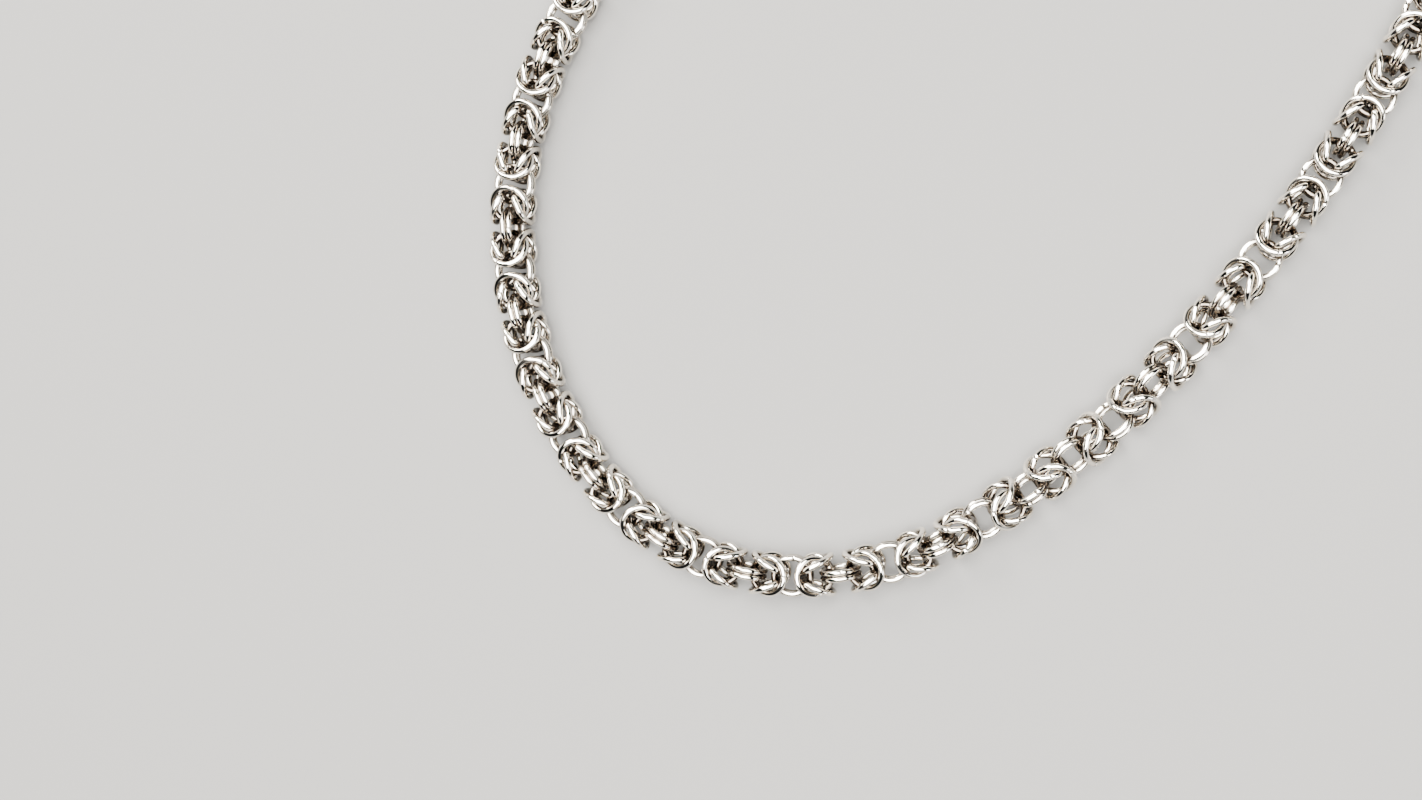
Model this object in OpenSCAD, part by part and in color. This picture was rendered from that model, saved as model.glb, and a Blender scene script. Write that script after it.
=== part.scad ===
// A silver neck chain of doubled round rings in the Byzantine weave, laid in an open loop on a
// table and closed with a plain barrel clasp. Millimetres. The table is z = 0 and the origin is
// under the middle of the loop; the clasp lies at the back (+y), the front curve towards -y.

/* [Ring] */
// Diameter of the round wire
wire_d = 0.88; // [0.8:0.01:0.88]
// Outside diameter of a ring
ring_od = 6.0; // [6:0.01:6.02]

/* [Weave] */
// Height of a cage ring's centre over the chain's axis
cage_half = 1.55; // [1.54:0.01:1.56]
// Slant of a cage ring: its pair meets at one end and gapes at the other
cage_tilt = 25.3; // [25.2:0.1:25.4]
// How far a cage pair's centre stands off the knot's centre along the chain
cage_shift = 0.04; // [0.03:0.01:0.05]
// Height of a joining ring's centre over the chain's axis
joint_half = 0.455; // [0.45:0.005:0.465]

/* [Clasp] */
// Outside diameter of the clasp's barrel
barrel_d = 6.0; // [5:0.1:6]
// Length of the barrel between its end faces
barrel_l = 11.0; // [10.4:0.1:11.2]
// Radius of the barrel's rounded end edges
barrel_edge = 1.4; // [0.5:0.1:2]
// Wire of an eye at the barrel's end
eye_wire = 1.0; // [0.9:0.05:1.05]
// Outside diameter of an eye
eye_od = 5.0; // [4.9:0.1:5.1]
// Distance between the two eyes' centres
eye_span = 14.0; // [13.9:0.1:14.1]
// Distance from an eye's centre to the centre of the joining rings that it holds
eye_reach = 3.3; // [3.25:0.05:3.35]

/* [Route] */
// Where the first knot lies, to the right of the loop's middle
start_x = 17.79; // [17:0.01:19]
// Where the first knot lies, behind the loop's middle
start_y = 71.37; // [71:0.01:72]
// Way that the chain leaves the first knot, counter-clockwise from +x
start_heading = 156.55; // [150:0.05:160]

/* [Hidden] */
// The loop in stretches, from the clasp down the left strand, along the front and back to the
// clasp. A stretch has a number of knots, the spacing between them in millimetres, the turn
// of the whole stretch to the left in degrees, and the roll of the weave about the chain's
// own axis at the stretch's far end in degrees.
KNOTS = 0;
SPACING = 1;
TURN = 2;
ROLL = 3;
stretches = [
    [10, 6.024, 86.6, 4],
    [9, 6.404, 0, 6],
    [8, 6.16, 47.8, 13],
    [3, 6.52, 21.6, 9],
    [5, 6.52, 51.8, 5],
    [3, 7.10, 25.5, 20],
    [2, 7.42, 8.1, 41],
    [3, 7.45, 9.4, 60],
    [3, 7.34, 5.7, 81],
    [2, 6.62, 3.2, 88],
    [2, 6.45, 3.6, 90],
    [2, 6.50, 1.4, 90],
    [11, 6.024, 95.3, 90],
    [1, 6.024, 0, 90]
];

ring_r = (ring_od - wire_d) / 2;
eye_r = (eye_od - eye_wire) / 2;
wire_facets = 40;
turn_facets = 96;
// Height that keeps a climbing stretch clear of the table
table_play = 0.01;
// Run to each side over which the axis's climb is taken
climb_run = 1;

function knots_in(i) = stretches[i][KNOTS];
function spacing_in(i) = stretches[i][SPACING];
function length_of(i) = knots_in(i) * spacing_in(i);
function bend_of(i) = stretches[i][TURN] / length_of(i);

// Length along the chain, knots, heading, place and roll where stretch i begins
function begin_of(i) = i == 0 ? 0 : begin_of(i - 1) + length_of(i - 1);
function knots_before(i) = i == 0 ? 0 : knots_before(i - 1) + knots_in(i - 1);
function heading_of(i) = i == 0 ? start_heading : heading_of(i - 1) + stretches[i - 1][TURN];
function place_of(i) = i == 0 ? [start_x, start_y] : along(i - 1, length_of(i - 1));
function roll_of(i) = i == 0 ? 0 : stretches[i - 1][ROLL];

// Point at distance d along stretch i: an arc, or a straight run where the stretch doesn't turn
// and before its start
function along(i, d) =
    let (a = heading_of(i), k = bend_of(i), p = place_of(i))
    k == 0 || d < 0
        ? p + d * [cos(a), sin(a)]
        : p + 180 / (PI * k) * [sin(a + k * d) - sin(a), cos(a) - cos(a + k * d)];
function heading_along(i, d) = heading_of(i) + bend_of(i) * max(d, 0);
function roll_along(i, d) =
    roll_of(i) + (stretches[i][ROLL] - roll_of(i)) * min(max(d / length_of(i), 0), 1);

// Stretch that holds the distance s along the chain
function stretch_at(s, i = 0) =
    i == len(stretches) - 1 || s < begin_of(i + 1) ? i : stretch_at(s, i + 1);

// Stretch that holds knot n, counted from 1, and the knot's distance along the chain
function stretch_of(n, i = 0) = n <= knots_in(i) ? i : stretch_of(n - knots_in(i), i + 1);
function station(n) =
    let (i = stretch_of(n)) begin_of(i) + (n - 1 - knots_before(i)) * spacing_in(i);

// How far a slanted ring reaches below the axis when the weave has rolled by a degrees
function reach(a) =
    cage_half * abs(cos(a)) + ring_r * sqrt(1 - pow(cos(cage_tilt) * cos(a), 2)) + wire_d / 2;

// Height of the axis over the table: the weave rests on its lowest rings
function rest(a) = table_play + max(reach(a), reach(a + 90));

// Roll and height of the axis at the distance s, and how steeply it climbs there
function roll_at(s) = let (i = stretch_at(s)) roll_along(i, s - begin_of(i));
function height_at(s) = rest(roll_at(s));
function climb_at(s) =
    atan((height_at(s + climb_run) - height_at(s - climb_run)) / (2 * climb_run));

last = len(stretches) - 1;
knot_count = knots_before(last) + knots_in(last);
knots_per_node = 2;
node_count = knot_count / knots_per_node;
first_joint = -spacing_in(0) / 2;
last_joint = station(knot_count) + spacing_in(last) / 2;
function links_name(n) = str("links_", n < 10 ? "0" : "", n);

// Round jump ring, flat on the xy plane
module ring() {
    rotate_extrude($fn = turn_facets)
        translate([ring_r, 0]) circle(d = wire_d, $fn = wire_facets);
}

// Two facing rings that meet towards -x and gape towards +x
module half_cage() {
    for (side = [-1, 1])
        translate([cage_shift, 0, side * cage_half]) rotate([0, -side * cage_tilt, 0]) ring();
}

// Four rings of a knot: a pair over and under, and a pair on its sides folded the other way
module cage() {
    half_cage();
    rotate([90, 0, 0]) rotate([0, 0, 180]) half_cage();
}

// Two rings side by side that join one knot to the next
module joint_pair() {
    for (side = [-1, 1]) translate([0, 0, side * joint_half]) ring();
}

// Puts what follows on the chain's axis at distance s, rolled with the weave
module on_chain(s, quarter = 0) {
    i = stretch_at(s);
    d = s - begin_of(i);
    p = along(i, d);
    translate([p[0], p[1], height_at(s)])
        rotate([0, -climb_at(s), heading_along(i, d)])
            rotate([roll_at(s) + 90 * quarter, 0, 0]) children();
}

// One knot and the pair that joins it to the next, each a quarter turn on from the last
module knot(n) {
    quarter = n - 1;
    on_chain(station(n), quarter) cage();
    on_chain(station(n) + spacing_in(stretch_of(n)) / 2, quarter) joint_pair();
}

// A stretch of the weave: its rings hold each other and stay separate
module links(n) {
    color("silver")
        for (k = [1:knots_per_node]) knot((n - 1) * knots_per_node + k);
}

// Upright pair before the first knot, which the clasp's eye holds
module end_links() {
    color("silver") on_chain(first_joint, -1) joint_pair();
}

// Closed barrel with rounded ends, lying along the chain
module barrel() {
    flat_r = barrel_d / 2 - barrel_edge;
    straight_l = barrel_l - 2 * barrel_edge;
    rotate([0, 90, 0]) rotate_extrude($fn = turn_facets) {
        translate([0, -barrel_l / 2]) square([flat_r, barrel_l]);
        translate([0, -straight_l / 2]) square([barrel_d / 2, straight_l]);
        for (end = [-1, 1])
            translate([flat_r, end * straight_l / 2]) circle(r = barrel_edge, $fn = turn_facets);
    }
}

// Eye that stands out of the barrel's end, one piece with it
module eye() {
    rotate_extrude($fn = turn_facets) translate([eye_r, 0]) circle(d = eye_wire, $fn = wire_facets);
}

// Each eye crosses the pair of rings that it holds. The weave has rolled a quarter turn from the
// first pair to the last, so one eye stands upright and the other lies flat.
module clasp() {
    color("silver")
        on_chain(last_joint + eye_reach + eye_span / 2) {
            barrel();
            translate([-eye_span / 2, 0, 0]) eye();
            translate([eye_span / 2, 0, 0]) rotate([90, 0, 0]) eye();
        }
}

for (n = [1:node_count])
    links(n);
end_links();
clasp();
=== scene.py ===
"""A silver neck chain in the Byzantine weave, laid in an open loop on a pale table."""

import logging
import math
import random
from collections.abc import Iterable
from dataclasses import dataclass, field
from enum import Enum

import bmesh
import bpy
import numpy as np
from mathutils import Matrix, Vector


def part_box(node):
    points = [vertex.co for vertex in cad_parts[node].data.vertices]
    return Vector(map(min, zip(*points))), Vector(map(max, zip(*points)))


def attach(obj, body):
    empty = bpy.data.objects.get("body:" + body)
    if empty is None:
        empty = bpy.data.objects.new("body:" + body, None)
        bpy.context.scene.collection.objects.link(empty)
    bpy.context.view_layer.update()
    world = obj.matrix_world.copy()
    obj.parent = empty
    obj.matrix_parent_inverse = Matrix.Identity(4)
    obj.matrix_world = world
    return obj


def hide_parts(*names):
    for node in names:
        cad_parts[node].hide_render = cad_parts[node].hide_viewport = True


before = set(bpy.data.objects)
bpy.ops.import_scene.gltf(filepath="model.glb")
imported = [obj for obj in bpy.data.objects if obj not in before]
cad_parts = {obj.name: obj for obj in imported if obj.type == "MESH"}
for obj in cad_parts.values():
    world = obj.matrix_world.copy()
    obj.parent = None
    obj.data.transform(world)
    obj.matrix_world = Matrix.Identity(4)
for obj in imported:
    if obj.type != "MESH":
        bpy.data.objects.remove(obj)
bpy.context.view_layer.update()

MM = 0.001
QUARTER_TURN = math.pi / 2
ROOT_BODY = "root"
# Attribute of how deep in the weave a point lies, which paints it darker as tarnish and painted
# shade
SHELTER = "shelter"
WEAR = "wear"
# Points closer than this are one point
MERGE = 0.0001 * MM
# Rings are put in order by their centres, rounded to this
ORDER_STEP = 0.01 * MM
# Sockets of a colour Mix node, whose names its other data types share
MIX_SHARE, MIX_FROM, MIX_TO, MIX_COLOUR = 0, 6, 7, 2
# The sRGB curve: a straight piece below its knee, and a power above it
SRGB_KNEE, SRGB_SLOPE, SRGB_OFFSET, SRGB_POWER = 0.04045, 12.92, 0.055, 2.4
log = logging.getLogger("neck_chain")


def linear(colour: str) -> tuple[float, float, float, float]:
    """Turns an sRGB hex colour into linear light.

    Args:
        colour: The colour as "#RRGGBB".

    Returns:
        Linear red, green and blue, and an alpha of 1.
    """
    parts = [int(colour[i:i + 2], 16) / 255 for i in (1, 3, 5)]
    light = [part / SRGB_SLOPE if part <= SRGB_KNEE
             else ((part + SRGB_OFFSET) / (1 + SRGB_OFFSET)) ** SRGB_POWER for part in parts]
    return (*light, 1.0)


def add_node(tree: bpy.types.NodeTree, kind: str, inputs: dict | None = None,
             **settings: object) -> bpy.types.Node:
    """Adds a node, applies its settings, and sets or links its inputs.

    Args:
        tree: The node tree that gets the node.
        kind: The node's type, such as "ShaderNodeBump".
        inputs: Input names or numbers, each with a value or with the socket that feeds it.
        **settings: Properties of the node itself.

    Returns:
        The new node.
    """
    node = tree.nodes.new(kind)
    for name, value in settings.items():
        setattr(node, name, value)
    for name, value in (inputs or {}).items():
        if isinstance(value, bpy.types.NodeSocket):
            tree.links.new(value, node.inputs[name])
        else:
            node.inputs[name].default_value = value
    return node


def pattern_scale(size: float) -> float:
    """Returns the noise scale whose features measure size metres."""
    return 1 / size


def mesh_from(name: str, bm: bmesh.types.BMesh) -> bpy.types.Mesh:
    """Keeps a bmesh as a mesh.

    Args:
        name: The mesh's name.
        bm: The bmesh, which is freed.

    Returns:
        The mesh.
    """
    mesh = bpy.data.meshes.new(name)
    bm.to_mesh(mesh)
    bm.free()
    return mesh


def place_in_scene(name: str, data: bpy.types.ID) -> bpy.types.Object:
    """Adds an object to the scene, at the origin.

    Args:
        name: The object's name.
        data: Its mesh, light or camera.

    Returns:
        The object.
    """
    placed = bpy.data.objects.new(name, data)
    bpy.context.scene.collection.objects.link(placed)
    return placed


def smooth_faces(bm: bmesh.types.BMesh) -> None:
    """Points all faces outwards and shades them smooth.

    Args:
        bm: The mesh.
    """
    bmesh.ops.recalc_face_normals(bm, faces=bm.faces)
    for face in bm.faces:
        face.smooth = True


def finish_piece(piece: bpy.types.Object, node: str, finish: bpy.types.Material) -> None:
    """Gives a piece its finish and slot, and makes it ride on the body in its CAD node's stead.

    Args:
        piece: The piece.
        node: The CAD node that it stands for.
        finish: Its material.
    """
    piece.data.materials.append(finish)
    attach(piece, ROOT_BODY)
    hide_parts(node)


@dataclass(frozen=True)
class PolishedSilver:
    """Sterling silver wire, drawn, coiled, sawn into rings and tumbled to a mirror.

    It reads as near-white metal with sharp reflections, faint waves from the tumbling, hairline
    scratches from wear, and dark brown deep in the weave, painted partly as tarnish and partly as
    the shade that falls between the rings.
    """

    name: str = "tumbled_sterling_silver"
    metal: str = "#FBF3E6"
    # Dark brown deep in the weave, partly tarnish and partly painted shade between the rings
    tarnish_and_shade: str = "#3E3022"
    tarnish_and_shade_most: float = 0.9
    # Shelter times wear at which the tarnish and painted shade start, and at which they are darkest
    tarnish_and_shade_span: tuple[float, float] = (0.02, 0.4)
    smooth: float = 0.03
    worn: float = 0.15
    # Wear at which the polish starts to dull, and at which it is dullest
    worn_span: tuple[float, float] = (0.35, 0.95)
    # How much of a ring's wear is the whole ring's own, and not patches on it
    ring_share: float = 0.35
    handling: float = 2.4 * MM
    handling_detail: float = 4.0
    wave: float = 1.1 * MM
    wave_depth: float = 0.006 * MM
    wave_detail: float = 1.0
    # Real hairlines are about 0.01 mm wide, too fine to show, so they are drawn ten times as wide
    scratch: float = 0.1 * MM
    scratch_depth: float = 0.0012 * MM
    scratch_detail: float = 2.0

    def material(self) -> bpy.types.Material:
        """Makes the finish's nodes.

        Returns:
            The finish as a Blender material.
        """
        made = bpy.data.materials.new(self.name)
        made.use_nodes = True
        tree = made.node_tree
        tree.nodes.clear()
        wear = self._wear(tree)
        roughness = add_node(tree, "ShaderNodeMapRange", {
            "Value": wear, "From Min": self.worn_span[0], "From Max": self.worn_span[1],
            "To Min": self.smooth, "To Max": self.worn})
        shader = add_node(tree, "ShaderNodeBsdfPrincipled", {
            "Base Color": self._colour(tree, wear), "Metallic": 1.0,
            "Roughness": roughness.outputs[0], "Normal": self._relief(tree)})
        add_node(tree, "ShaderNodeOutputMaterial", {"Surface": shader.outputs[0]})
        return made

    def _patches(self, tree: bpy.types.NodeTree, size: float,
                 detail: float) -> bpy.types.NodeSocket:
        """Adds noise on the piece.

        Args:
            tree: The material's node tree.
            size: Size of the noise's features in metres.
            detail: How much finer noise it carries.

        Returns:
            The socket with the noise, from 0 to 1.
        """
        place = add_node(tree, "ShaderNodeTexCoord").outputs["Object"]
        return add_node(tree, "ShaderNodeTexNoise", {
            "Vector": place, "Scale": pattern_scale(size), "Detail": detail}).outputs["Fac"]

    def _wear(self, tree: bpy.types.NodeTree) -> bpy.types.NodeSocket:
        """Adds each ring's own wear to the patches of handling.

        Args:
            tree: The material's node tree.

        Returns:
            The socket with the wear.
        """
        own = add_node(tree, "ShaderNodeAttribute", attribute_name=WEAR).outputs["Fac"]
        handled = self._patches(tree, self.handling, self.handling_detail)
        return add_node(tree, "ShaderNodeMath", {0: own, 1: self.ring_share, 2: handled},
                        operation="MULTIPLY_ADD").outputs[0]

    def _colour(self, tree: bpy.types.NodeTree, wear: bpy.types.NodeSocket) -> bpy.types.NodeSocket:
        """Darkens the metal where it is sheltered and worn, partly as tarnish and partly as painted
        shade between the rings.

        Args:
            tree: The material's node tree.
            wear: The socket with the wear.

        Returns:
            The socket with the colour.
        """
        sheltered = add_node(tree, "ShaderNodeAttribute", attribute_name=SHELTER).outputs["Fac"]
        patchy = add_node(tree, "ShaderNodeMath", {0: sheltered, 1: wear}, operation="MULTIPLY")
        # How far the metal turns to dark brown: partly tarnish, partly painted shade
        dull = add_node(tree, "ShaderNodeMapRange", {
            "Value": patchy.outputs[0], "From Min": self.tarnish_and_shade_span[0],
            "From Max": self.tarnish_and_shade_span[1], "To Min": 0.0, "To Max": self.tarnish_and_shade_most})
        return add_node(tree, "ShaderNodeMix", {
            MIX_SHARE: dull.outputs[0], MIX_FROM: linear(self.metal), MIX_TO: linear(self.tarnish_and_shade)},
            data_type="RGBA").outputs[MIX_COLOUR]

    def _relief(self, tree: bpy.types.NodeTree) -> bpy.types.NodeSocket:
        """Adds the waves of the tumbling and the hairlines.

        Args:
            tree: The material's node tree.

        Returns:
            The socket with the bumped normal.
        """
        waves = add_node(tree, "ShaderNodeBump", {
            "Height": self._patches(tree, self.wave, self.wave_detail),
            "Distance": self.wave_depth, "Strength": 1.0})
        hairs = add_node(tree, "ShaderNodeBump", {
            "Height": self._patches(tree, self.scratch, self.scratch_detail),
            "Distance": self.scratch_depth, "Strength": 1.0, "Normal": waves.outputs["Normal"]})
        return hairs.outputs["Normal"]


@dataclass(frozen=True)
class MattTable:
    """Matt painted board, an even grey that strong light turns pale, under brighter metal."""

    name: str = "matt_painted_board"
    paint: str = "#5F5E5C"
    roughness: float = 0.6

    def material(self) -> bpy.types.Material:
        """Makes the finish's nodes.

        Returns:
            The finish as a Blender material.
        """
        made = bpy.data.materials.new(self.name)
        made.use_nodes = True
        shader = made.node_tree.nodes["Principled BSDF"]
        shader.inputs["Base Color"].default_value = linear(self.paint)
        shader.inputs["Roughness"].default_value = self.roughness
        return made


@dataclass(frozen=True)
class RingPose:
    """Where a ring's centre is, and which way its plane faces."""

    centre: Vector
    facing: Vector

    def matrix(self, turn: float) -> Matrix:
        """Returns the transform from a ring flat on the origin, turned in its own plane by turn."""
        aimed = Vector((0, 0, 1)).rotation_difference(self.facing).to_matrix().to_4x4()
        return Matrix.Translation(self.centre) @ aimed @ Matrix.Rotation(turn, 4, "Z")

    def order(self) -> tuple[int, ...]:
        """Returns the centre in whole steps, to sort by."""
        return tuple(round(part / ORDER_STEP) for part in self.centre)


def loose_parts(bm: bmesh.types.BMesh) -> list[list[bmesh.types.BMVert]]:
    """Splits a mesh into its separate parts.

    Args:
        bm: The mesh.

    Returns:
        The vertices of each part.
    """
    bm.verts.index_update()
    seen = set()
    parts = []
    for start in bm.verts:
        if start.index in seen:
            continue
        seen.add(start.index)
        part, fringe = [], [start]
        while fringe:
            vert = fringe.pop()
            part.append(vert)
            for edge in vert.link_edges:
                other = edge.other_vert(vert)
                if other.index not in seen:
                    seen.add(other.index)
                    fringe.append(other)
        parts.append(part)
    return parts


def pose_of(part: list[bmesh.types.BMVert]) -> RingPose:
    """Finds where a ring lies from its mesh.

    Args:
        part: The ring's vertices.

    Returns:
        The pose, with the largest part of its facing positive.
    """
    faces = list(dict.fromkeys(face for vert in part for face in vert.link_faces))
    weights = np.array([face.calc_area() for face in faces])
    middles = np.array([face.calc_center_median() for face in faces])
    centre = weights @ middles / weights.sum()
    spread = (middles - centre) * np.sqrt(weights)[:, None]
    # A ring is thinnest along its facing, which is the spread's last axis
    facing = np.linalg.svd(spread, full_matrices=False)[2][-1]
    facing *= np.sign(facing[np.argmax(np.abs(facing))])
    return RingPose(Vector(centre), Vector(facing))


def rings_in(node: str) -> list[RingPose]:
    """Reads the poses of a CAD node's rings from its mesh.

    Args:
        node: The CAD node's name.

    Returns:
        A pose for each loose ring of the mesh, in an order that is the same in each run.
    """
    bm = bmesh.new()
    bm.from_mesh(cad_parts[node].data)
    bmesh.ops.remove_doubles(bm, verts=bm.verts, dist=MERGE)
    poses = [pose_of(part) for part in loose_parts(bm)]
    bm.free()
    return sorted(poses, key=RingPose.order)


@dataclass
class JumpRing:
    """A ring of round wire, cut from a coil and closed, with the cut polished to a fine line."""

    outer_d: float = 6.0 * MM
    wire_d: float = 0.88 * MM
    cut_width: float = 0.03 * MM
    cut_depth: float = 0.012 * MM
    steps: int = 48
    sides: int = 12

    @property
    def radius(self) -> float:
        """Radius of the wire's centre line."""
        return (self.outer_d - self.wire_d) / 2

    @property
    def half_cut(self) -> float:
        """Angle at the ring's centre from the middle of the cut to its side."""
        return self.cut_width / 2 / self.radius

    def mesh(self) -> bpy.types.Mesh:
        """Builds the ring flat on the origin, with its cut towards +x.

        Returns:
            A closed mesh with faces outward.
        """
        bm = bmesh.new()
        upright = Matrix.Translation((self.radius, 0, 0)) @ Matrix.Rotation(QUARTER_TURN, 4, "X")
        section = bmesh.ops.create_circle(
            bm, segments=self.sides, radius=self.wire_d / 2,
            matrix=Matrix.Rotation(self.half_cut, 4, "Z") @ upright)
        first = list(bm.edges)
        swept = bmesh.ops.spin(
            bm, geom=section["verts"] + first, cent=(0, 0, 0), axis=(0, 0, 1),
            angle=2 * (math.pi - self.half_cut), steps=self.steps, use_merge=False)
        last = [item for item in swept["geom_last"] if isinstance(item, bmesh.types.BMEdge)]
        lips = self._lip(bm, first, -self.half_cut / 2) + self._lip(bm, last, self.half_cut / 2)
        bmesh.ops.bridge_loops(bm, edges=lips)
        smooth_faces(bm)
        return mesh_from("jump_ring", bm)

    def _lip(self, bm: bmesh.types.BMesh, end: list[bmesh.types.BMEdge],
             turn: float) -> list[bmesh.types.BMEdge]:
        """Draws an end of the wire in and on into the cut.

        Args:
            bm: The ring's mesh.
            end: The edges round the wire's end.
            turn: How far the lip goes on round the ring's centre.

        Returns:
            The edges round the lip.
        """
        verts = list(dict.fromkeys(vert for edge in end for vert in edge.verts))
        middle = sum((vert.co for vert in verts), Vector()) / len(verts)
        lip = bmesh.ops.extrude_edge_only(bm, edges=end)["geom"]
        lip_verts = [item for item in lip if isinstance(item, bmesh.types.BMVert)]
        bmesh.ops.scale(bm, vec=(1 - 2 * self.cut_depth / self.wire_d,) * 3,
                        space=Matrix.Translation(-middle), verts=lip_verts)
        bmesh.ops.rotate(bm, verts=lip_verts, cent=(0, 0, 0),
                         matrix=Matrix.Rotation(turn, 3, "Z"))
        return [item for item in lip if isinstance(item, bmesh.types.BMEdge)]


def crowding(points: np.ndarray, poses: Iterable[RingPose], ring: JumpRing,
             reach: float) -> np.ndarray:
    """Measures how closely some rings crowd round points.

    Args:
        points: One point a row.
        poses: The rings' poses.
        ring: The rings' shape.
        reach: The distance at which a ring no longer counts.

    Returns:
        For each point, the sum over the rings of 1 where a ring touches it down to 0 at reach.
    """
    crowd = np.zeros(len(points))
    for pose in poses:
        facing = np.array(pose.facing)
        away = points - np.array(pose.centre)
        height = away @ facing
        out = np.linalg.norm(away - height[:, None] * facing, axis=1) - ring.radius
        gap = np.hypot(out, height) - ring.wire_d / 2
        crowd += np.clip(1 - gap / reach, 0, 1)
    return crowd


@dataclass
class Weave:
    """The chain itself: each stretch of the weave is one joined mesh of separate rings."""

    ring: JumpRing = field(default_factory=JumpRing)
    seed: int = 11
    # Distance at which a neighbouring ring no longer shelters a point
    shelter_reach: float = 1.6 * MM
    # Crowding up to which a point lies open, and from which it is fully sheltered
    open_crowd: float = 0.45
    full_crowd: float = 1.7

    def build(self, finish: bpy.types.Material) -> list[bpy.types.Object]:
        """Builds every stretch where the frame has it.

        Args:
            finish: The rings' material.

        Returns:
            The pieces, in the order of the chain.
        """
        chance = random.Random(self.seed)
        pattern = self.ring.mesh()
        poses = {name: rings_in(name) for name in sorted(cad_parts) if "links" in name}
        everything = [pose for group in poses.values() for pose in group]
        pieces = []
        for node, own in poses.items():
            mesh = self._stretch(node.replace("links", "weave"), own, pattern, chance)
            self._mark_shelter(mesh, own, everything)
            self._mark_wear(mesh, len(own), chance)
            piece = place_in_scene(mesh.name, mesh)
            finish_piece(piece, node, finish)
            pieces.append(piece)
        bpy.data.meshes.remove(pattern)
        return pieces

    def _stretch(self, name: str, poses: list[RingPose], pattern: bpy.types.Mesh,
                 chance: random.Random) -> bpy.types.Mesh:
        """Joins a copy of the pattern at each pose, its cut at a random place on the ring.

        Args:
            name: The mesh's name.
            poses: The rings' poses.
            pattern: A ring flat on the origin.
            chance: Where the random turns come from.

        Returns:
            The mesh, with the points of each ring after those of the ring before.
        """
        bm = bmesh.new()
        for pose in poses:
            before = len(bm.verts)
            bm.from_mesh(pattern)
            bm.verts.ensure_lookup_table()
            bmesh.ops.transform(bm, matrix=pose.matrix(chance.uniform(0, math.tau)),
                                verts=bm.verts[before:])
        return mesh_from(name, bm)

    def _mark_shelter(self, mesh: bpy.types.Mesh, own: list[RingPose],
                      everything: list[RingPose]) -> None:
        """Writes on each point how deep in the weave it lies, from 0, open, to 1, sheltered.

        Args:
            mesh: The stretch's mesh.
            own: The poses of its rings.
            everything: The poses of all rings of the chain.
        """
        points = np.empty(len(mesh.vertices) * 3, np.float32)
        mesh.vertices.foreach_get("co", points)
        rings = points.reshape(len(own), -1, 3)
        near_limit = self.ring.outer_d + self.shelter_reach
        crowds = []
        for pose, ring_points in zip(own, rings):
            near = [other for other in everything if other is not pose
                    and (other.centre - pose.centre).length < near_limit]
            crowds.append(crowding(ring_points, near, self.ring, self.shelter_reach))
        # This depth darkens the metal, partly as tarnish and partly as painted shade
        depth = (np.concatenate(crowds) - self.open_crowd) / (self.full_crowd - self.open_crowd)
        self._write(mesh, SHELTER, np.clip(depth, 0, 1))

    def _mark_wear(self, mesh: bpy.types.Mesh, rings: int, chance: random.Random) -> None:
        """Writes on each ring how worn it is, from 0, freshly polished, to 1, handled most.

        Args:
            mesh: The stretch's mesh.
            rings: How many rings it has.
            chance: Where the random wear comes from.
        """
        wear = np.array([chance.random() for _ in range(rings)])
        self._write(mesh, WEAR, np.repeat(wear, len(mesh.vertices) // rings))

    def _write(self, mesh: bpy.types.Mesh, name: str, values: np.ndarray) -> None:
        """Writes a value for each point as the mesh's attribute of that name."""
        written = mesh.attributes.new(name, "FLOAT", "POINT")
        written.data.foreach_set("value", values.astype(np.float32))


def soldered_eye() -> JumpRing:
    """Returns the shape of an eye, a ring of thicker wire whose cut is soldered shut."""
    return JumpRing(outer_d=5.0 * MM, wire_d=1.0 * MM, cut_depth=0)


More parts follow.
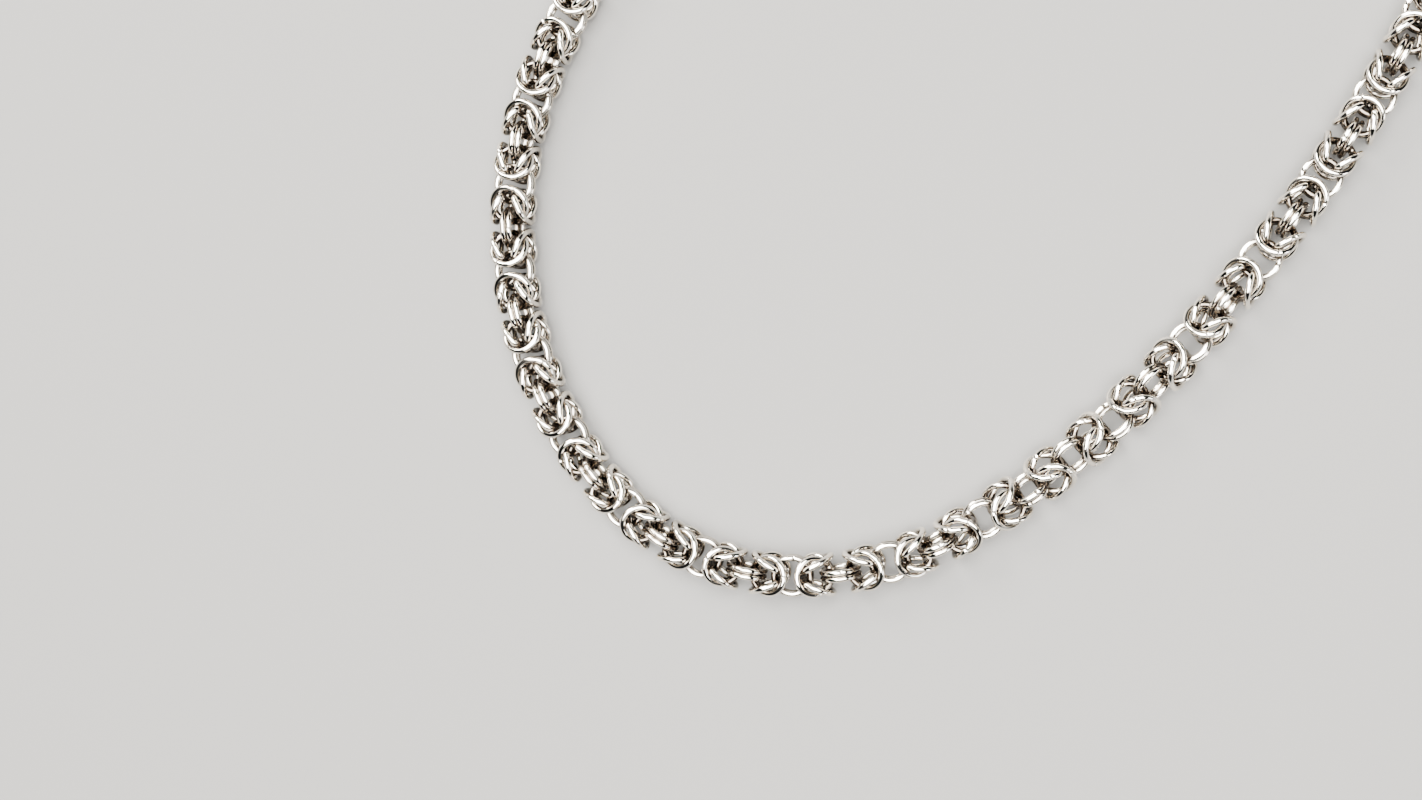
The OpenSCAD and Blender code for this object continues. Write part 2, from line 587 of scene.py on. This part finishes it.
@dataclass
class BarrelClasp:
    """A plain closed barrel with rounded ends and an eye at each end, a quarter turn apart."""

    node: str = "clasp"
    name: str = "barrel_clasp"
    barrel_d: float = 6.0 * MM
    barrel_l: float = 11.0 * MM
    edge: float = 1.4 * MM
    eye_span: float = 14.0 * MM
    eye: JumpRing = field(default_factory=soldered_eye)
    steps: int = 64
    arc_points: int = 8

    def build(self, finish: bpy.types.Material) -> bpy.types.Object:
        """Builds the clasp where the frame has it.

        Args:
            finish: The clasp's material.

        Returns:
            The finished piece.
        """
        bm = bmesh.new()
        self._barrel(bm)
        # The first eye stands upright and the second lies flat, both with the cut in the barrel
        self._eye(bm, -self.eye_span / 2, Matrix.Rotation(QUARTER_TURN, 4, "X"))
        self._eye(bm, self.eye_span / 2, Matrix.Rotation(math.pi, 4, "Z"))
        bmesh.ops.transform(bm, matrix=self._place(), verts=bm.verts)
        smooth_faces(bm)
        piece = place_in_scene(self.name, mesh_from(self.name, bm))
        finish_piece(piece, self.node, finish)
        return piece

    def _barrel(self, bm: bmesh.types.BMesh) -> None:
        """Spins the barrel's outline, a line with two rounded corners, round the x axis.

        Args:
            bm: The clasp's mesh, still empty.
        """
        outline = [Vector((-self.barrel_l / 2, 0, 0))]
        for end in (-1, 1):
            corner = Vector((end * (self.barrel_l / 2 - self.edge),
                             self.barrel_d / 2 - self.edge, 0))
            for step in range(self.arc_points + 1):
                done = QUARTER_TURN * step / self.arc_points
                angle = done if end < 0 else QUARTER_TURN - done
                rim = Vector((end * math.cos(angle), math.sin(angle), 0))
                outline.append(corner + self.edge * rim)
        outline.append(Vector((self.barrel_l / 2, 0, 0)))
        verts = [bm.verts.new(point) for point in outline]
        edges = [bm.edges.new(pair) for pair in zip(verts, verts[1:])]
        bmesh.ops.spin(bm, geom=verts + edges, cent=(0, 0, 0), axis=(1, 0, 0), angle=math.tau,
                       steps=self.steps, use_merge=True)
        bmesh.ops.remove_doubles(bm, verts=bm.verts, dist=MERGE)

    def _eye(self, bm: bmesh.types.BMesh, along: float, turn: Matrix) -> None:
        """Adds an eye.

        Args:
            bm: The clasp's mesh.
            along: Where its centre is on the x axis.
            turn: How it is turned from lying flat with its cut towards +x.
        """
        eye = self.eye.mesh()
        eye.transform(Matrix.Translation((along, 0, 0)) @ turn)
        bm.from_mesh(eye)
        bpy.data.meshes.remove(eye)

    def _place(self) -> Matrix:
        """Finds where the frame's clasp lies.

        Returns:
            The transform from the x axis to it, with the upright eye first.
        """
        points = np.array([vert.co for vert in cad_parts[self.node].data.vertices])
        low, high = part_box(self.node)
        centre = (low + high) / 2
        flat = points[:, :2] - np.array(centre.xy)
        along = np.linalg.svd(flat, full_matrices=False)[2][0]
        across = flat @ [-along[1], along[0]]
        beyond = self.barrel_l / 2 + self.edge
        # The eye that lies flat is wider from above than the upright one
        first, second = (np.ptp(across[flat @ along * end > beyond]) for end in (-1, 1))
        if first > second:
            along = -along
        return Matrix.Translation(centre) @ Matrix.Rotation(math.atan2(along[1], along[0]), 4, "Z")


class Softness(Enum):
    """How large a studio light is, in metres across."""

    BROAD = 2.3
    MEDIUM = 1.0
    SMALL = 0.6


@dataclass(frozen=True)
class SoftBox:
    """A soft studio light that looks at the middle of the scene."""

    name: str
    place: tuple[float, float, float]
    softness: Softness
    power: float
    colour: str

    def build(self) -> None:
        """Adds the light, aimed at the origin."""
        data = bpy.data.lights.new(self.name, "AREA")
        data.size = self.softness.value
        data.energy = self.power
        data.color = linear(self.colour)[:3]
        light = place_in_scene(self.name, data)
        light.location = self.place
        light.rotation_euler = (-light.location).to_track_quat("-Z", "Y").to_euler()


@dataclass
class Studio:
    """The pale table, the soft lights and the camera of the photograph."""

    table_half: float = 1.6
    table_below: float = 0.02 * MM
    wall: str = "#FAFBFC"
    ceiling: str = "#161718"
    surround_strength: float = 1.2
    # Heights at which the wall ends and the ceiling begins, as the sine of the angle upwards
    wall_top: float = 0.1
    ceiling_edge: float = 0.35
    # The point on the chain's height that the middle of the photograph shows
    photo_centre: Vector = field(default_factory=lambda: Vector((-37.4, -50.0, 3.2)) * MM)
    distance: float = 320 * MM
    lean: float = math.radians(8.5)
    nearest: float = 10 * MM
    picture_px: float = 1422
    focal_px: float = 2269
    # Width of Blender's usual sensor, in its own millimetres
    sensor: float = 36.0
    lights: tuple[SoftBox, ...] = (
        SoftBox("overhead", (-0.04, -0.01, 2.1), Softness.BROAD, 520.0, "#FFFDF9"),
        SoftBox("key", (-1.35, 1.35, 1.5), Softness.MEDIUM, 200.0, "#FFFCF6"),
        SoftBox("fill", (1.8, -0.9, 1.05), Softness.SMALL, 22.0, "#F8FAFF"),
    )

    def build(self, finish: bpy.types.Material) -> None:
        """Adds the table, the surround, the lights and the camera.

        Args:
            finish: The table's material.
        """
        self._table(finish)
        self._surround()
        for light in self.lights:
            light.build()
        self._camera()

    def _table(self, finish: bpy.types.Material) -> None:
        """Lays the table just under the chain.

        Args:
            finish: Its material.
        """
        bm = bmesh.new()
        bmesh.ops.create_grid(bm, x_segments=1, y_segments=1, size=self.table_half,
                              matrix=Matrix.Translation((0, 0, -self.table_below)))
        table = place_in_scene("table", mesh_from("table", bm))
        table.data.materials.append(finish)

    def _surround(self) -> None:
        """Surrounds the table with a pale wall under a dim ceiling, which the metal mirrors."""
        world = bpy.data.worlds.new("studio")
        world.use_nodes = True
        tree = world.node_tree
        tree.nodes.clear()
        way = add_node(tree, "ShaderNodeTexCoord").outputs["Generated"]
        height = add_node(tree, "ShaderNodeSeparateXYZ", {0: way}).outputs["Z"]
        share = add_node(tree, "ShaderNodeMapRange", {
            "Value": height, "From Min": self.wall_top, "From Max": self.ceiling_edge},
            interpolation_type="SMOOTHSTEP")
        colour = add_node(tree, "ShaderNodeMix", {
            MIX_SHARE: share.outputs[0], MIX_FROM: linear(self.wall), MIX_TO: linear(self.ceiling)},
            data_type="RGBA").outputs[MIX_COLOUR]
        glow = add_node(tree, "ShaderNodeBackground", {
            "Color": colour, "Strength": self.surround_strength})
        add_node(tree, "ShaderNodeOutputWorld", {"Surface": glow.outputs[0]})
        bpy.context.scene.world = world

    def _camera(self) -> None:
        """Sets up the camera, almost straight above and leaning from the right."""
        data = bpy.data.cameras.new("photo_camera")
        data.sensor_width = self.sensor
        data.lens = self.focal_px / self.picture_px * self.sensor
        data.clip_start = self.nearest
        camera = place_in_scene("photo_camera", data)
        back = Vector((math.sin(self.lean), 0, math.cos(self.lean)))
        camera.location = self.photo_centre + self.distance * back
        camera.rotation_euler = (0, self.lean, 0)
        bpy.context.scene.camera = camera


def main() -> None:
    """Builds the chain, its clasp and the studio."""
    logging.basicConfig(level=logging.INFO, format="%(message)s")
    silver = PolishedSilver().material()
    pieces = Weave().build(silver)
    pieces.append(BarrelClasp().build(silver))
    for piece in pieces:
        log.info("%s: %d faces", piece.name, len(piece.data.polygons))
    Studio().build(MattTable().material())


if __name__ == "__main__":
    main()
